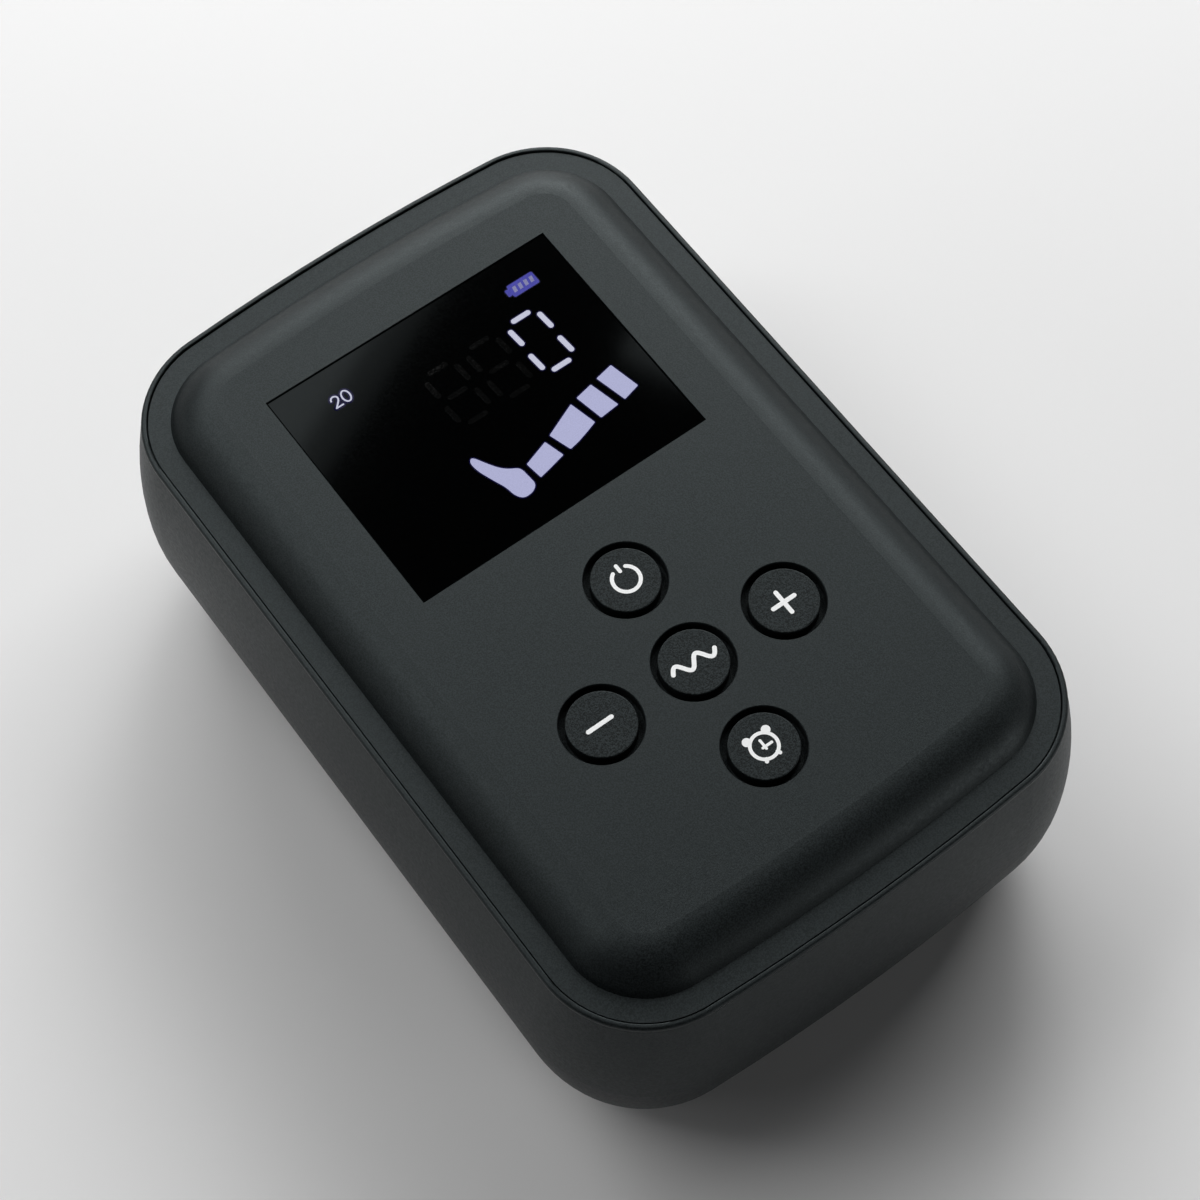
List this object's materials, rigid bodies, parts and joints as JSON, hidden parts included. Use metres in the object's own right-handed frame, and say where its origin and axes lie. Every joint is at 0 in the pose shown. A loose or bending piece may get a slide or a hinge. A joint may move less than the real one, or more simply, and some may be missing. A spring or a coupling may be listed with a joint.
{
  "type": "compression therapy pump",
  "caption": "Hand-sized air compression pump with a barrel-sided case, raised front panel, recessed screen, round push buttons in a cross, air outlets in the back and a charging inlet.",
  "frame": {"origin": "middle of the case's outline, on the plane it rests on", "axes": "+Z out of the screen, +Y towards the screen end, +X to the right of someone reading the screen"},
  "size_m": [0.0974, 0.1454, 0.0529],
  "materials": {
    "case_plastic": "fine spark-eroded texture, dark slate",
    "trim_plastic": "satin dark slate",
    "key_plastic": "fine texture, dark slate",
    "lens_black": "polished black",
    "tape_black": "dull black",
    "display_glass": "polished, dark",
    "white_plastic": "moulded",
    "board_green": "solder mask",
    "chip_black": "moulded epoxy",
    "connector_cream": "moulded",
    "switch_plastic": "moulded",
    "cell_steel": "plated",
    "wrap_blue": "shrink film",
    "inner_plastic": "moulded",
    "wire_red": "smooth",
    "motor_steel": "zinc plated",
    "shaft_steel": "ground",
    "dark_rubber": "dull",
    "silicone": "translucent white",
    "valve_steel": "zinc plated",
    "inlet_steel": "nickel plated",
    "screw_steel": "zinc plated"
  },
  "bodies": {
    "case": {"air_manifold": "white_plastic", "backlight_tray": "white_plastic", "battery_cable": "wire_red", "battery_cell_1": "cell_steel", "battery_cell_2": "cell_steel", "battery_cradle": "inner_plastic", "battery_socket": "connector_cream", "battery_wrap": "wrap_blue", "board_screws": "screw_steel", "bracket_screws": "screw_steel", "buzzer": "chip_black", "case_screws": "screw_steel", "charge_board": "board_green", "charging_inlet": "inlet_steel", "controller_chip": "chip_black", "display_glass": "display_glass", "display_holder": "white_plastic", "front_panel": "case_plastic", "lens_tape": "tape_black", "main_board": "board_green", "manifold_screws": "screw_steel", "motor_cable": "wire_red", "motor_socket": "connector_cream", "pressure_sensor": "chip_black", "protection_board": "board_green", "pump_bracket": "motor_steel", "pump_crankcase": "inner_plastic", "pump_diaphragm": "dark_rubber", "pump_head": "inner_plastic", "pump_motor": "motor_steel", "pump_saddle": "dark_rubber", "pump_tube": "silicone", "rear_housing": "case_plastic", "rubber_feet": "dark_rubber", "screen_lens": "lens_black", "sensor_tube": "silicone", "tact_switches": "switch_plastic", "trim_ring": "trim_plastic", "valve_1": "valve_steel", "valve_2": "valve_steel", "valve_3": "valve_steel", "valve_4": "valve_steel", "valve_5": "valve_steel"},
    "power_key": {"power_button": "key_plastic", "power_plunger": "switch_plastic"},
    "plus_key": {"plus_button": "key_plastic", "plus_plunger": "switch_plastic"},
    "mode_key": {"mode_button": "key_plastic", "mode_plunger": "switch_plastic"},
    "minus_key": {"minus_button": "key_plastic", "minus_plunger": "switch_plastic"},
    "timer_key": {"timer_button": "key_plastic", "timer_plunger": "switch_plastic"},
    "rotor": {"crank_shaft": "shaft_steel"},
    "armature_1": {"valve_armature_1": "shaft_steel"},
    "armature_2": {"valve_armature_2": "shaft_steel"},
    "armature_3": {"valve_armature_3": "shaft_steel"},
    "armature_4": {"valve_armature_4": "shaft_steel"},
    "armature_5": {"valve_armature_5": "shaft_steel"}
  },
  "joints": [
    {"name": "power_press", "type": "slide", "parent": "case", "child": "power_key", "axis": [0, 0, -1], "range_m": [0, 0.0006], "stiffness_N_per_m": 2500},
    {"name": "plus_press", "type": "slide", "parent": "case", "child": "plus_key", "axis": [0, 0, -1], "range_m": [0, 0.0006], "stiffness_N_per_m": 2500},
    {"name": "mode_press", "type": "slide", "parent": "case", "child": "mode_key", "axis": [0, 0, -1], "range_m": [0, 0.0006], "stiffness_N_per_m": 2500},
    {"name": "minus_press", "type": "slide", "parent": "case", "child": "minus_key", "axis": [0, 0, -1], "range_m": [0, 0.0006], "stiffness_N_per_m": 2500},
    {"name": "timer_press", "type": "slide", "parent": "case", "child": "timer_key", "axis": [0, 0, -1], "range_m": [0, 0.0006], "stiffness_N_per_m": 2500},
    {"name": "pump_spin", "type": "hinge", "parent": "case", "child": "rotor", "pos_m": [0.02, -0.013, 0.017], "axis": [0, 1, 0], "continuous": true},
    {"name": "valve_1_open", "type": "slide", "parent": "case", "child": "armature_1", "axis": [0, -1, 0], "range_m": [0, 0.0008], "stiffness_N_per_m": 400},
    {"name": "valve_2_open", "type": "slide", "parent": "case", "child": "armature_2", "axis": [0, -1, 0], "range_m": [0, 0.0008], "stiffness_N_per_m": 400},
    {"name": "valve_3_open", "type": "slide", "parent": "case", "child": "armature_3", "axis": [0, -1, 0], "range_m": [0, 0.0008], "stiffness_N_per_m": 400},
    {"name": "valve_4_open", "type": "slide", "parent": "case", "child": "armature_4", "axis": [0, -1, 0], "range_m": [0, 0.0008], "stiffness_N_per_m": 400},
    {"name": "valve_5_open", "type": "slide", "parent": "case", "child": "armature_5", "axis": [0, -1, 0], "range_m": [0, 0.0008], "stiffness_N_per_m": 400}
  ]
}
